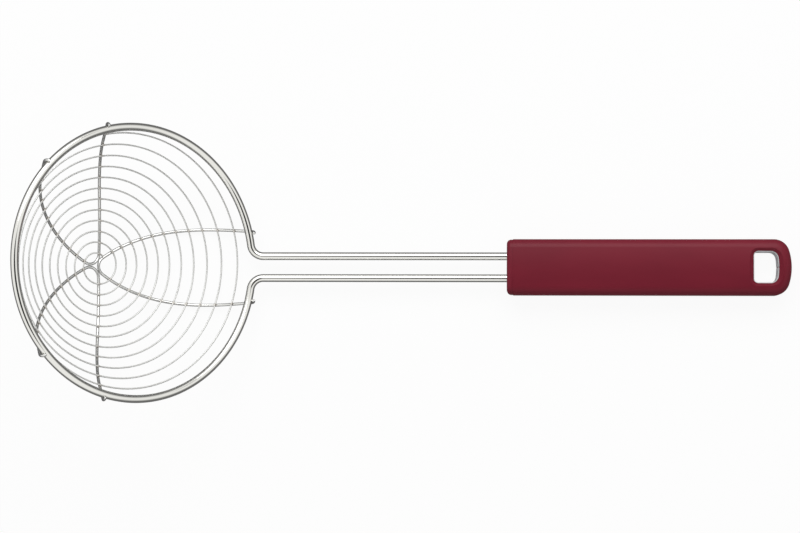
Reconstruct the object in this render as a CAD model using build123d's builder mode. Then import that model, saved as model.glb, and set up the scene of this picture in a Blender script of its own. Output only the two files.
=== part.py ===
from build123d import *
import os
from math import asin, atan2, ceil, cos, degrees, hypot, pi, radians, sin, sqrt, tan

os.makedirs("parts", exist_ok=True)

# A long-handled spider skimmer. +X runs from the bowl to the end of the handle and +Z is up.
# It lies flat: the underside of the handle and the lowest turn of the bowl touch the plane Z = 0,
# and the origin is there, in the middle of the length and the width. Millimetres and degrees.

# Ring and legs: one heavy wire whose two ends turn out of the ring and run into the handle. Its
# straight legs are solids of their own, which meet the bends of the neck face to face.
ring_wire = 4.0
ring_radius = 68.0
ring_tilt = radians(40)
neck_half_angle = radians(9.5)
leg_spacing = 11.3
leg_height = 7.87
handle_reach = 183.5
leg_end_margin = 27.2

# Bowl surface: a floor arc that runs into a tighter wall arc and then straight on to the ring.
# How deep it is follows from the height of the legs, because its lowest turn lies on Z = 0 too.
floor_radius = 89.15
floor_angle = radians(22.3)
wall_angle = radians(55.8)

# Rib wires: three bent wires, each a narrow V whose two arms end in hooks round the ring
rib_wire = 1.5
rib_bend_radius = 5.1
handle_rib_spread = 19.6
handle_rib_margin = 15.0
left_rib_spread = 20.1
right_rib_spread = 20.6
side_rib_margin = 6.2
hook_run = 6.2
side_rib_turn = radians(121.25)
side_rib_skew = radians(0.5)
weld_gap = 0.06
hook_gap = 0.05
hook_end_angle = radians(62)
hook_lean = radians(12)
arm_stations = 8
hook_stations = 2

# Spiral wire, wound on the ribs from the middle of the bowl out to the ring
spiral_wire = 0.8
spiral_start_radius = 6.1
spiral_ring_gap = 2.33
spiral_tightening = 0.019
spiral_turns = 11.11
spiral_start_angle = radians(63.4)
stations_a_turn = 4
gap_samples_a_turn = 72

# Handle: a moulded shell, closed at the front by a cap that the legs pass through
handle_length = 144.4
handle_width = 28.6
handle_height = 16.5
crown_radius = 75.0
upper_edge_radius = 5.0
lower_edge_radius = 3.5
rear_arc_radius = 30.0
rear_corner_radius = 8.0
shell_wall = 3.0
rear_block = 14.9
cavity_corner_radius = 2.0
cap_thickness = 3.2
cap_inset = 0.25
cap_edge_radius = 2.2
spigot_length = 4.0
fit_gap = 0.15
leg_bore_gap = 0.1

# Inside the handle: two core halves round the legs, and the plate that ties the leg ends
plate_thickness = 2.0
plate_side_wall = 2.0
plate_height = 8.0
groove_gap = 0.05
peg_diameter = 3.0
peg_height = 2.4
peg_gap = 0.1
peg_end_margin = 12.0
core_corner_radius = 1.85

# Hang hole: an opening with a dished edge, lined with a strip bent into a ring
hole_end_margin = 6.9
hole_length = 12.15
hole_width = 15.7
hole_bulge = 0.9
hole_front_corner = 2.0
hole_rear_corner = 3.6
liner_wall = 0.35
liner_gap = 0.05
liner_seam = 0.4
liner_recess = 0.3
dish_depth = 1.8
dish_angle = 50
underside_dish_depth = 0.8
overrun = 1.0

# The legs meet the ring below its middle, and the spiral lies on the inner side of the ribs
leg_y = leg_spacing / 2
leg_drop = sin(ring_tilt) * (ring_radius - leg_y * sin(neck_half_angle)) / cos(neck_half_angle)
ring_height = leg_height + leg_drop
hook_radius = ring_wire / 2 + hook_gap + rib_wire / 2
hook_start_angle = wall_angle - pi / 2
hook_out = ring_radius + hook_radius * cos(hook_start_angle)
spiral_inside = rib_wire / 2 + weld_gap + spiral_wire / 2

# The wall arc's radius is the one that lets the lowest turn touch Z = 0 while the straight wall
# touches the circle that each hook follows round the ring
floor_edge_out = floor_radius * sin(floor_angle)
steepness = cos(ring_tilt) / cos(wall_angle)
hook_side = hook_radius + (ring_radius - floor_edge_out) * sin(wall_angle)
wall_lift = ring_height + spiral_inside - spiral_wire / 2 - floor_edge_out * sin(ring_tilt)
wall_share = steepness * (1 - cos(wall_angle - floor_angle)) - (1 - cos(ring_tilt - floor_angle))
wall_radius = (steepness * hook_side - wall_lift) / wall_share
radius_step = floor_radius - wall_radius

# Where the bowl's two arcs have their centres, seen from the middle of the ring
wall_centre_out = radius_step * sin(floor_angle)
wall_reach = wall_radius - hook_radius - (ring_radius - wall_centre_out) * sin(wall_angle)
wall_centre_up = wall_reach / cos(wall_angle)
floor_centre_up = wall_centre_up + radius_step * cos(floor_angle)

# Places along X: behind the ring, the turns on the steep wall reach furthest back
back_turn = wall_centre_out * cos(ring_tilt) - wall_centre_up * sin(ring_tilt)
bowl_back = back_turn + wall_radius - spiral_inside + spiral_wire / 2
whole_length = bowl_back + handle_reach + handle_length
ring_x = bowl_back - whole_length / 2
handle_front = ring_x + handle_reach
handle_end = handle_front + handle_length
shell_front = handle_front + cap_thickness
beyond_end = handle_end + overrun
hole_rear = handle_end - hole_end_margin
hole_front = hole_rear - hole_length
cavity_end = hole_front - rear_block
leg_end = cavity_end - leg_end_margin
core_front = shell_front + spigot_length + fit_gap
core_end = cavity_end - fit_gap

bowl = Plane(
    origin=(ring_x, 0, ring_height),
    x_dir=(cos(ring_tilt), 0, -sin(ring_tilt)),
    z_dir=(sin(ring_tilt), 0, cos(ring_tilt)),
)


def bowl_surface(out, inside):
    """Height and slope of the bowl, this far out from its axis and this far inside the ribs' surface."""
    floor = floor_radius - inside
    wall = wall_radius - inside
    straight_out = wall_centre_out + wall * sin(wall_angle)
    straight_up = wall_centre_up - wall * cos(wall_angle)
    if out < floor * sin(floor_angle):
        slope = asin(out / floor)
        return floor_centre_up - floor * cos(slope), slope
    if out < straight_out:
        slope = asin((out - wall_centre_out) / wall)
        return wall_centre_up - wall * cos(slope), slope
    return straight_up + (out - straight_out) * tan(wall_angle), wall_angle


def on_bowl(x, y, x_way, y_way, inside):
    """A station of a wire on the bowl: its place, and the way that the wire passes it."""
    out = hypot(x, y)
    height, slope = bowl_surface(out, inside)
    climb = tan(slope) * (x * x_way + y * y_way) / out
    return Vector(x, y, height), Vector(x_way, y_way, climb).normalized()


def in_place(stations):
    """The same stations, carried from the bowl's own frame to the skimmer's."""
    return [
        (bowl.from_local_coords(place), bowl.from_local_coords(way) - bowl.origin)
        for place, way in stations
    ]


def follow(stations):
    """Join the stations by pairs of tangent arcs, which meet half way between the ends of two runs."""
    for (start, start_way), (end, end_way) in zip(stations, stations[1:]):
        chord = end - start
        along = (start_way + end_way).dot(chord)
        spread = 2 * (1 - start_way.dot(end_way)) * chord.dot(chord)
        run = chord.dot(chord) / (along + sqrt(along * along + spread))
        leaving = start + start_way * run
        arriving = end - end_way * run
        joint = (leaving + arriving) * 0.5
        TangentArc(start, joint, tangent=start_way)
        TangentArc(joint, end, tangent=arriving - leaving)


def hook_station(start_around, angle):
    """A station of a hook, which winds round the ring's wire and leans towards the V's middle line."""
    around = start_around - hook_radius * (angle - hook_start_angle) * tan(hook_lean) / ring_radius
    out = ring_radius + hook_radius * cos(angle)
    up = hook_radius * sin(angle)
    place = Vector(out * cos(around), out * sin(around), up)
    out_way = -sin(angle) * cos(hook_lean)
    side_way = sin(hook_lean)
    x_way = out_way * cos(around) + side_way * sin(around)
    y_way = out_way * sin(around) - side_way * cos(around)
    return place, Vector(x_way, y_way, cos(angle) * cos(hook_lean))


def arm(bend_centre, spread, margin):
    """Half a rib wire: from its V's point, past its widest place this far inside the ring, to its hook."""
    widest_out = ring_radius - margin
    reach = widest_out - bend_centre
    arm_radius = (reach**2 + spread**2 - rib_bend_radius**2) / (2 * (spread - rib_bend_radius))
    first_lean = atan2(reach, arm_radius - spread)
    last_lean = -asin((margin - hook_run) / arm_radius)
    stations = [on_bowl(bend_centre - rib_bend_radius, 0, 0, 1, 0)]
    for step in range(arm_stations + 1):
        lean = first_lean + (last_lean - first_lean) * step / arm_stations
        x = widest_out - arm_radius * sin(lean)
        y = spread - arm_radius * (1 - cos(lean))
        stations.append(on_bowl(x, y, cos(lean), sin(lean), 0))
    beside = y * cos(last_lean) - x * sin(last_lean)
    around = last_lean + asin(beside / hook_out)
    for step in range(hook_stations + 1):
        turn = (hook_end_angle - hook_start_angle) * step / hook_stations
        stations.append(hook_station(around, hook_start_angle + turn))
    return stations


def across(vector):
    """The vector's mirror image across the plane Y = 0."""
    return Vector(vector.X, -vector.Y, vector.Z)


def mirrored(stations):
    """The stations' mirror image across the same plane."""
    return [(across(place), across(way)) for place, way in stations]


def reversed_run(stations):
    """The same run of wire, followed from its other end."""
    return [(place, way * -1) for place, way in reversed(stations)]


def turned(stations, angle):
    """The stations turned about the bowl's axis."""
    return [(place.rotate(Axis.Z, angle), way.rotate(Axis.Z, angle)) for place, way in stations]


def save(piece, name):
    """Label a finished piece and write it to its own file."""
    piece.part.label = name
    export_step(piece.part, f"parts/{name}.step")


# Ring and legs
ring_corner = (ring_radius * sin(neck_half_angle) - leg_y) / cos(neck_half_angle)
ring_start = (
    Vector(ring_radius * cos(neck_half_angle), ring_radius * sin(neck_half_angle), 0),
    Vector(-sin(neck_half_angle), cos(neck_half_angle), 0),
)
ring_far = (Vector(-ring_radius, 0, 0), Vector(0, -1, 0))
ring_run = in_place([ring_start, ring_far] + reversed_run(mirrored([ring_start])))
corner_x = (ring_run[0][0] - ring_run[0][1] * ring_corner).X
leg_start = Vector(corner_x + ring_corner, leg_y, leg_height)
leg_stop = Vector(corner_x + ring_corner, -leg_y, leg_height)
along_x = Vector(1, 0, 0)

with BuildPart() as rim_frame:
    with BuildLine():
        follow([(leg_start, along_x * -1)] + ring_run + [(leg_stop, along_x)])
    with BuildSketch(Plane.YZ.offset(leg_start.X)):
        with Locations((leg_y, leg_height)):
            Circle(ring_wire / 2)
    sweep()
save(rim_frame, "rim_frame")

for name, side_y in (("leg_wire_left", leg_y), ("leg_wire_right", -leg_y)):
    with BuildPart() as leg_wire:
        with BuildSketch(Plane.YZ.offset(leg_start.X)):
            with Locations((side_y, leg_height)):
                Circle(ring_wire / 2)
        extrude(amount=leg_end - leg_start.X)
    save(leg_wire, name)

# Rib wires: the three bends stand close together, touching, round the middle of the bowl. The two
# side ribs are turned a little the same way, so that the left one stands nearer to the front one.
bend_pitch = 2 * rib_bend_radius + rib_wire + weld_gap
side_bend_centre = bend_pitch / (2 * sin(pi - side_rib_turn))
left_turn = side_rib_turn - side_rib_skew
right_turn = side_rib_turn + side_rib_skew
left_drop = side_bend_centre * cos(left_turn)
left_out = side_bend_centre * sin(left_turn)
front_bend_centre = left_drop + sqrt(bend_pitch**2 - left_out**2)
ribs = {
    "rib_wire_handle_side": (0, front_bend_centre, handle_rib_spread, handle_rib_margin),
    "rib_wire_left": (left_turn, side_bend_centre, left_rib_spread, side_rib_margin),
    "rib_wire_right": (-right_turn, side_bend_centre, right_rib_spread, side_rib_margin),
}
for name, (turn, bend_centre, spread, margin) in ribs.items():
    half = arm(bend_centre, spread, margin)
    stations = in_place(turned(reversed_run(mirrored(half)) + half[1:], degrees(turn)))
    with BuildPart() as rib:
        with BuildLine():
            follow(stations)
        with BuildSketch(Plane(origin=stations[0][0], z_dir=stations[0][1])):
            Circle(rib_wire / 2)
        sweep()
    save(rib, name)


# Spiral wire: its pitch takes it from its start to just inside the ring
spiral_reach = ring_radius - spiral_ring_gap - spiral_start_radius
spiral_pitch = spiral_reach / spiral_turns + spiral_tightening * spiral_turns


def spiral_station(turns):
    """The spiral wire after so many turns, counted from its inner end."""
    out = spiral_start_radius + spiral_pitch * turns - spiral_tightening * turns**2
    growth = (spiral_pitch - 2 * spiral_tightening * turns) / (2 * pi)
    angle = spiral_start_angle + 2 * pi * turns
    x_way = growth * cos(angle) - out * sin(angle)
    y_way = growth * sin(angle) + out * cos(angle)
    return on_bowl(out * cos(angle), out * sin(angle), x_way, y_way, spiral_inside)


# The winding, with a short straight run at each end
spiral_steps = ceil(spiral_turns * stations_a_turn)
winding = in_place([spiral_station(spiral_turns * step / spiral_steps) for step in range(spiral_steps + 1)])
(inner_end, inner_way), (outer_end, outer_way) = winding[0], winding[-1]
with BuildPart() as spiral:
    with BuildLine():
        Line(inner_end - inner_way * spiral_wire, inner_end)
        follow(winding)
        Line(outer_end, outer_end + outer_way * spiral_wire)
    with BuildSketch(Plane(origin=inner_end - inner_way * spiral_wire, z_dir=inner_way)):
        Circle(spiral_wire / 2)
    sweep()
save(spiral, "spiral_wire")

samples = [
    spiral_station(spiral_turns * step / (gap_samples_a_turn * spiral_turns))[0]
    for step in range(int(gap_samples_a_turn * spiral_turns) + 1)
]
least_apart = min(
    (there - here).length
    for index, here in enumerate(samples)
    for there in samples[index + gap_samples_a_turn // 2:]
)
print("spiral wire: least gap to itself", round(least_apart - spiral_wire, 2), "mm")
print("bowl: depth", round(floor_radius - floor_centre_up, 2), "wall radius", round(wall_radius, 2), "mm")

# Handle: where its crown meets its sides, and where its rear arc meets them
crown_drop = crown_radius - sqrt(crown_radius**2 - (handle_width / 2) ** 2)
rear_drop = rear_arc_radius - sqrt(rear_arc_radius**2 - (handle_width / 2) ** 2)
cavity_bottom = shell_wall
cavity_top = handle_height - shell_wall
cavity_width = handle_width - 2 * shell_wall
cavity_height = cavity_top - cavity_bottom
cavity_middle = (cavity_top + cavity_bottom) / 2

# Hang hole, as the opening inside its liner
with BuildSketch() as opening:
    with BuildLine():
        Polyline(
            (hole_rear - hole_bulge, -hole_width / 2),
            (hole_front, -hole_width / 2),
            (hole_front, hole_width / 2),
            (hole_rear - hole_bulge, hole_width / 2),
        )
        ThreePointArc(
            (hole_rear - hole_bulge, hole_width / 2),
            (hole_rear, 0),
            (hole_rear - hole_bulge, -hole_width / 2),
        )
    make_face()
    fillet(opening.vertices().group_by(Axis.X)[0], hole_front_corner)
    fillet(opening.vertices().group_by(Axis.X)[-1], hole_rear_corner)
dish_bottom = handle_height - dish_depth
liner_bottom = underside_dish_depth + liner_recess
liner_top = dish_bottom - liner_recess

# Handle shell
with BuildPart() as handle_shell:
    with BuildSketch() as outline:
        with BuildLine():
            Polyline(
                (handle_end - rear_drop, -handle_width / 2),
                (shell_front, -handle_width / 2),
                (shell_front, handle_width / 2),
                (handle_end - rear_drop, handle_width / 2),
            )
            ThreePointArc(
                (handle_end - rear_drop, handle_width / 2),
                (handle_end, 0),
                (handle_end - rear_drop, -handle_width / 2),
            )
        make_face()
        fillet(outline.vertices().group_by(Axis.X)[-1], rear_corner_radius)
    extrude(amount=handle_height)
    with BuildSketch(Plane.YZ.offset(shell_front)):
        with BuildLine():
            Polyline(
                (handle_width / 2, handle_height - crown_drop),
                (handle_width / 2, 0),
                (-handle_width / 2, 0),
                (-handle_width / 2, handle_height - crown_drop),
            )
            ThreePointArc(
                (-handle_width / 2, handle_height - crown_drop),
                (0, handle_height),
                (handle_width / 2, handle_height - crown_drop),
            )
        make_face()
    extrude(amount=handle_length, mode=Mode.INTERSECT)
    behind_front = handle_shell.edges().filter_by_position(Axis.X, shell_front, beyond_end, (False, True))
    upper_edges = behind_front.filter_by_position(Axis.Z, handle_height - 2 * crown_drop, handle_height)
    fillet(upper_edges, upper_edge_radius)
    behind_front = handle_shell.edges().filter_by_position(Axis.X, shell_front, beyond_end, (False, True))
    fillet(behind_front.group_by(Axis.Z)[0], lower_edge_radius)
    with BuildSketch(Plane.YZ.offset(shell_front)):
        with Locations((0, cavity_middle)):
            RectangleRounded(cavity_width, cavity_height, cavity_corner_radius)
    extrude(amount=cavity_end - shell_front, mode=Mode.SUBTRACT)
    with BuildSketch():
        offset(opening.sketch, amount=liner_wall + liner_gap, mode=Mode.ADD)
    extrude(amount=handle_height, mode=Mode.SUBTRACT)
    with BuildSketch(Plane.XY.offset(dish_bottom)):
        offset(opening.sketch, amount=liner_wall + liner_gap, mode=Mode.ADD)
    extrude(amount=dish_depth + overrun, taper=-dish_angle, mode=Mode.SUBTRACT)
    with BuildSketch(Plane.XY.offset(underside_dish_depth)):
        offset(opening.sketch, amount=liner_wall + liner_gap, mode=Mode.ADD)
    extrude(amount=-underside_dish_depth - overrun, taper=-dish_angle, mode=Mode.SUBTRACT)
save(handle_shell, "handle_shell")

# Front cap, with a bore for each leg and a spigot in the shell's mouth
cap_side = handle_width / 2 - cap_inset
cap_top = handle_height - cap_inset
cap_shoulder = cap_top - crown_drop
with BuildPart() as front_cap:
    with BuildSketch(Plane.YZ.offset(handle_front)) as cap_section:
        with BuildLine():
            Polyline(
                (cap_side, cap_shoulder),
                (cap_side, cap_inset),
                (-cap_side, cap_inset),
                (-cap_side, cap_shoulder),
            )
            ThreePointArc((-cap_side, cap_shoulder), (0, cap_top), (cap_side, cap_shoulder))
        make_face()
        corners = cap_section.vertices().group_by(Axis.Y)
        fillet(corners[-1], upper_edge_radius - cap_inset)
        corners = cap_section.vertices().group_by(Axis.Y)
        fillet(corners[0], lower_edge_radius - cap_inset)
    extrude(amount=cap_thickness)
    fillet(front_cap.edges().group_by(Axis.X)[0], cap_edge_radius)
    with BuildSketch(Plane.YZ.offset(shell_front)):
        with Locations((0, cavity_middle)):
            RectangleRounded(
                cavity_width - 2 * fit_gap,
                cavity_height - 2 * fit_gap,
                cavity_corner_radius - fit_gap,
            )
    extrude(amount=spigot_length)
    with BuildSketch(Plane.YZ.offset(handle_front)):
        with Locations((leg_y, leg_height), (-leg_y, leg_height)):
            Circle(ring_wire / 2 + leg_bore_gap)
    extrude(amount=cap_thickness + spigot_length, mode=Mode.SUBTRACT)
save(front_cap, "front_cap")

# Core halves: they meet at the height of the legs
core_bottom = cavity_bottom + fit_gap
core_top = cavity_top - fit_gap
core_length = core_end - core_front
plate_width = cavity_width - 2 * (fit_gap + plate_side_wall)
peg_places = [(core_front + peg_end_margin, 0), (leg_end - peg_end_margin, 0), (core_end - peg_end_margin, 0)]
for name, low, high in (("core_lower", core_bottom, leg_height), ("core_upper", leg_height, core_top)):
    with BuildPart() as core:
        with BuildSketch(Plane.YZ.offset(core_front)):
            with Locations((0, cavity_middle)):
                RectangleRounded(
                    cavity_width - 2 * fit_gap,
                    cavity_height - 2 * fit_gap,
                    core_corner_radius,
                )
            with Locations((0, (low + high) / 2)):
                Rectangle(cavity_width, high - low, mode=Mode.INTERSECT)
        extrude(amount=core_length)
        with BuildSketch(Plane.YZ.offset(core_front)):
            with Locations((leg_y, leg_height), (-leg_y, leg_height)):
                Circle(ring_wire / 2 + groove_gap)
        extrude(amount=leg_end - core_front, mode=Mode.SUBTRACT)
        with BuildSketch(Plane.YZ.offset(leg_end - fit_gap)):
            with Locations((0, leg_height)):
                Rectangle(plate_width + 2 * fit_gap, plate_height + 2 * fit_gap)
        extrude(amount=plate_thickness + 2 * fit_gap, mode=Mode.SUBTRACT)
        if name == "core_lower":
            with BuildSketch(Plane.XY.offset(leg_height)):
                with Locations(*peg_places):
                    Circle(peg_diameter / 2)
            extrude(amount=peg_height)
        else:
            with BuildSketch(Plane.XY.offset(leg_height)):
                with Locations(*peg_places):
                    Circle(peg_diameter / 2 + peg_gap)
            extrude(amount=peg_height + fit_gap, mode=Mode.SUBTRACT)
    save(core, name)

# Plate welded across the ends of the legs
with BuildPart() as leg_anchor_plate:
    with BuildSketch(Plane.YZ.offset(leg_end)):
        with Locations((0, leg_height)):
            Rectangle(plate_width, plate_height)
    extrude(amount=plate_thickness)
save(leg_anchor_plate, "leg_anchor_plate")

# Liner of the hang hole, open at the butt seam in the middle of its rear wall
with BuildPart() as hang_hole_liner:
    with BuildSketch(Plane.XY.offset(liner_bottom)):
        offset(opening.sketch, amount=liner_wall, mode=Mode.ADD)
        add(opening.sketch, mode=Mode.SUBTRACT)
    extrude(amount=liner_top - liner_bottom)
    with BuildSketch(Plane.XY.offset(liner_bottom)):
        with Locations((hole_rear, 0)):
            Rectangle(2 * (liner_wall + liner_gap), liner_seam)
    extrude(amount=liner_top - liner_bottom, mode=Mode.SUBTRACT)
save(hang_hole_liner, "hang_hole_liner")
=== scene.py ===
import math

import bpy
import numpy as np
from bpy.props import FloatProperty, FloatVectorProperty, IntProperty, PointerProperty
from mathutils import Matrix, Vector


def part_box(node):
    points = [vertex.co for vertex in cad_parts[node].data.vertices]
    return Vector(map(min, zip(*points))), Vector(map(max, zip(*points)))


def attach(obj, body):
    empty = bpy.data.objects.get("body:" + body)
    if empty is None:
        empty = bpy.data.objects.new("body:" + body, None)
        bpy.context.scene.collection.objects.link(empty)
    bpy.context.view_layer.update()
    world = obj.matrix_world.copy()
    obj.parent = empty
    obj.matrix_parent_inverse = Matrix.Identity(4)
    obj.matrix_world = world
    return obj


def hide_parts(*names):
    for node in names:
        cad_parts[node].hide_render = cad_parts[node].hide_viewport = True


# A long-handled wire skimmer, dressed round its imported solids. Metres, +X from the bowl to the
# end of the handle, +Z up. The wires are new pieces; the handle's solids get their finishes.

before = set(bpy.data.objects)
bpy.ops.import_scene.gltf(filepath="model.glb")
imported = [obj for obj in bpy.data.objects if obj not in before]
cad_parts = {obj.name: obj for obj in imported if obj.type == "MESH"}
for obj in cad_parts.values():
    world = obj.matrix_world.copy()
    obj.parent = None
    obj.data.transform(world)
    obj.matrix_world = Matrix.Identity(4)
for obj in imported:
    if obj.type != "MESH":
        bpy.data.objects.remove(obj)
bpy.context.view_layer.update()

bl_info = {
    "name": "Wire Skimmer",
    "version": (1, 0, 0),
    "blender": (4, 5, 0),
    "location": "View3D > Sidebar > Skimmer",
    "description": "Draws the wires of a skimmer, gives its handle its finishes and sets the stage",
    "category": "Object",
}

BODY = "root"

# Rows of points that round the edge of a cut wire end, and places that sample the winding's length
EDGE_ROWS = 5
WINDING_SAMPLES = 4000

# Straight up, and what mirrors a place from one side of the skimmer to the other
UP = np.array([0.0, 0.0, 1.0])
MIRROR = np.array([1.0, -1.0, 1.0])

# White as a socket takes it
WHITE = (1, 1, 1, 1)


# Sizes and finishes that a user would change


def length(name, description, default):
    """A size in metres."""
    return FloatProperty(name=name, description=description, default=default, unit="LENGTH", precision=5)


def angle(name, description, degrees):
    """An angle, given in degrees and kept in radians."""
    return FloatProperty(
        name=name, description=description, default=math.radians(degrees), unit="ROTATION", subtype="ANGLE"
    )


def colour(name, description, default):
    """A linear colour."""
    return FloatVectorProperty(
        name=name, description=description, default=default, subtype="COLOR", size=3, min=0, max=1
    )


def share(name, description, default, most=1.0):
    """A plain number from 0 up."""
    return FloatProperty(name=name, description=description, default=default, min=0, max=most, precision=3)


def count(name, description, default):
    """A whole number of steps."""
    return IntProperty(name=name, description=description, default=default, min=3)


class SkimmerFrameSizes(bpy.types.PropertyGroup):
    """Ring, neck and legs, and the bowl's surface."""

    ring_wire: length("Ring wire", "Diameter of the heavy wire of the ring and legs", 0.004)
    ring_radius: length("Ring radius", "Radius of the ring, to the middle of its wire", 0.068)
    ring_tilt: angle("Ring tilt", "Tilt of the ring from the level of the legs", 40)
    neck_half_angle: angle("Neck half angle", "Angle from the middle to where the ring ends", 9.5)
    leg_spacing: length("Leg spacing", "Distance between the middles of the legs", 0.0113)
    floor_radius: length("Floor radius", "Radius of the bowl's floor arc", 0.08915)
    floor_angle: angle("Floor angle", "Slope at which the floor arc ends", 22.3)
    wall_angle: angle("Wall angle", "Slope of the bowl's straight wall", 55.8)
    wire_sides: count("Wire sides", "Faces round the heavy wire", 32)
    leg_steps: count("Leg steps", "Steps along each leg", 60)
    neck_steps: count("Neck steps", "Steps round each bend of the neck", 24)
    ring_steps: count("Ring steps", "Steps round the ring", 540)


class SkimmerRibSizes(bpy.types.PropertyGroup):
    """The three bent rib wires."""

    rib_wire: length("Rib wire", "Diameter of the rib wires", 0.0015)
    bend_radius: length("Bend radius", "Radius of the bend at the point of each V", 0.0051)
    handle_spread: length("Handle spread", "Half the greatest width of the V by the handle", 0.0196)
    handle_margin: length("Handle margin", "How far inside the ring the V by the handle is widest", 0.015)
    left_spread: length("Left spread", "Half the greatest width of the left V", 0.0201)
    right_spread: length("Right spread", "Half the greatest width of the right V", 0.0206)
    side_margin: length("Side margin", "How far inside the ring the side Vs are widest", 0.0062)
    hook_run: length("Hook run", "Run of wire between the end of an arm and the ring's middle line", 0.0062)
    side_turn: angle("Side turn", "Turn of the two side ribs from the one by the handle", 121.25)
    side_skew: angle("Side skew", "How far both side ribs are turned the same way", 0.5)
    hook_gap: length("Hook gap", "Gap between a hook and the ring's wire", 0.00005)
    hook_end: angle("Hook end", "Where a hook ends on its way round the ring's wire", 62)
    hook_lean: angle("Hook lean", "Lean of a hook towards the middle line of its V", 12)
    wire_sides: count("Wire sides", "Faces round a rib wire", 18)
    bend_steps: count("Bend steps", "Steps along half the bend of a V", 24)
    arm_steps: count("Arm steps", "Steps along each arm", 110)
    hook_steps: count("Hook steps", "Steps round each hook", 26)
    cut_edge: length("Cut edge", "Rounding of the edge where a wire is cut off", 0.0002)


class SkimmerSpiralSizes(bpy.types.PropertyGroup):
    """The fine wire wound on the ribs."""

    spiral_wire: length("Spiral wire", "Diameter of the fine wire", 0.0008)
    start_radius: length("Start radius", "Distance of the inner end from the bowl's axis", 0.0061)
    ring_gap: length("Ring gap", "How far inside the ring's middle line the outer end lies", 0.00233)
    tightening: length("Tightening", "How much each turn's pitch shrinks, halved", 0.000019)
    turns: share("Turns", "Number of turns", 11.11, 40)
    start_angle: angle("Start angle", "Where the inner end lies round the bowl's axis", 63.4)
    weld_gap: length("Weld gap", "Gap between the fine wire and the ribs", 0.00006)
    weld_swell: length("Weld swell", "How far the fine wire is spread at a weld", 0.00009)
    weld_length: length("Weld length", "Half the length of the spread wire at a weld", 0.0008)
    step: length("Step", "Length of one step along the fine wire", 0.00055)
    wire_sides: count("Wire sides", "Faces round the fine wire", 10)
    cut_edge: length("Cut edge", "Rounding of the edge where the wire is cut off", 0.00012)


class SkimmerFinishes(bpy.types.PropertyGroup):
    """Colours and roughness of the materials."""

    heavy_steel: colour("Heavy wire", "Polished steel of the ring and legs", (0.68, 0.675, 0.65))
    rib_steel: colour("Rib wire", "Drawn steel of the ribs", (0.6, 0.6, 0.59))
    fine_steel: colour("Fine wire", "Drawn steel of the spiral", (0.68, 0.68, 0.67))
    liner_steel: colour("Liner", "Bright steel strip in the hang hole", (0.88, 0.88, 0.9))
    plate_steel: colour("Anchor plate", "Plain sheet steel", (0.5, 0.5, 0.49))
    burgundy: colour("Handle", "Moulded burgundy plastic", (0.173, 0.0088, 0.0228))
    core_black: colour("Core", "Plain moulded plastic inside the handle", (0.035, 0.035, 0.037))
    heavy_roughness: share("Heavy wire roughness", "Roughness of the polished wire", 0.08)
    rib_roughness: share("Rib wire roughness", "Roughness of the rib wire", 0.22)
    fine_roughness: share("Fine wire roughness", "Roughness of the fine wire", 0.6)
    liner_roughness: share("Liner roughness", "Roughness of the strip in the hang hole", 0.3)
    liner_metal: share("Liner metal", "How far the strip shines as metal, against a pale haze", 0.4)
    plate_roughness: share("Anchor plate roughness", "Roughness of the anchor plate", 0.4)
    handle_roughness: share("Handle roughness", "Roughness of the moulded handle", 0.45)
    core_roughness: share("Core roughness", "Roughness of the plastic inside the handle", 0.5)
    heavy_streak: length("Heavy wire streak", "Depth of the drawn streaks of the heavy wire", 0.0000005)
    thin_streak: length("Thin wire streak", "Depth of the drawn streaks of the thin wires", 0.000001)
    rolled_line: length("Rolled line", "Depth of the lines in rolled strip", 0.000004)
    handle_grain: length("Handle grain", "Depth of the handle's fine grain", 0.000012)
    core_grain: length("Core grain", "Depth of the core's grain", 0.00002)
    weld_tint: colour("Weld tint", "Straw colour of the steel at a weld", (0.50, 0.44, 0.37))


class SkimmerStage(bpy.types.PropertyGroup):
    """Camera, floor and light."""

    camera_place: FloatVectorProperty(
        name="Camera place",
        description="Where the camera stands",
        default=(0.0711205, -0.0596953, 1.2111090),
        subtype="TRANSLATION",
        unit="LENGTH",
        size=3,
    )
    camera_turn: FloatVectorProperty(
        name="Camera turn",
        description="How the camera is turned from looking straight down",
        default=(math.radians(2.86846), math.radians(3.72955), math.radians(0.24308)),
        subtype="EULER",
        unit="ROTATION",
        size=3,
    )
    film_width: FloatProperty(name="Film width", description="Width of the film", default=36, unit="CAMERA")
    lens: FloatProperty(
        name="Lens", description="Focal length for that film", default=105.637, unit="CAMERA"
    )
    nearest: length("Nearest", "Nearest that the camera sees", 0.01)
    furthest: length("Furthest", "Furthest that the camera sees", 20.0)
    floor_width: length("Floor width", "Width of the pale floor", 6.0)
    floor_colour: colour("Floor colour", "The pale floor's own colour", (0.93, 0.93, 0.93))
    floor_white: share("Floor white", "How much of the floor's white is the background's own", 0.93)
    floor_gloss: share("Floor gloss", "How bright the floor is in the wires' gloss", 0.2)
    room_level: share("Room level", "Strength of the room's plain light", 0.42, 4)
    lamp_power: FloatProperty(
        name="Lamp power", description="Power of the large soft lamp", default=14.0, min=0, unit="POWER"
    )
    lamp_length: length("Lamp length", "Length of the soft lamp, along X", 1.4)
    lamp_width: length("Lamp width", "Width of the soft lamp", 0.9)
    lamp_distance: length("Lamp distance", "Distance of the soft lamp from the skimmer", 1.41)
    lamp_tip: angle("Lamp tip", "How far from straight up the soft lamp stands", 42)


# Numbers that vary over a surface, written as Python sums

# Detail and roughness of plain noise, and of noise with more small parts
PLAIN_NOISE = (2.0, 0.5)
RICH_NOISE = (3.0, 0.6)


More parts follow.
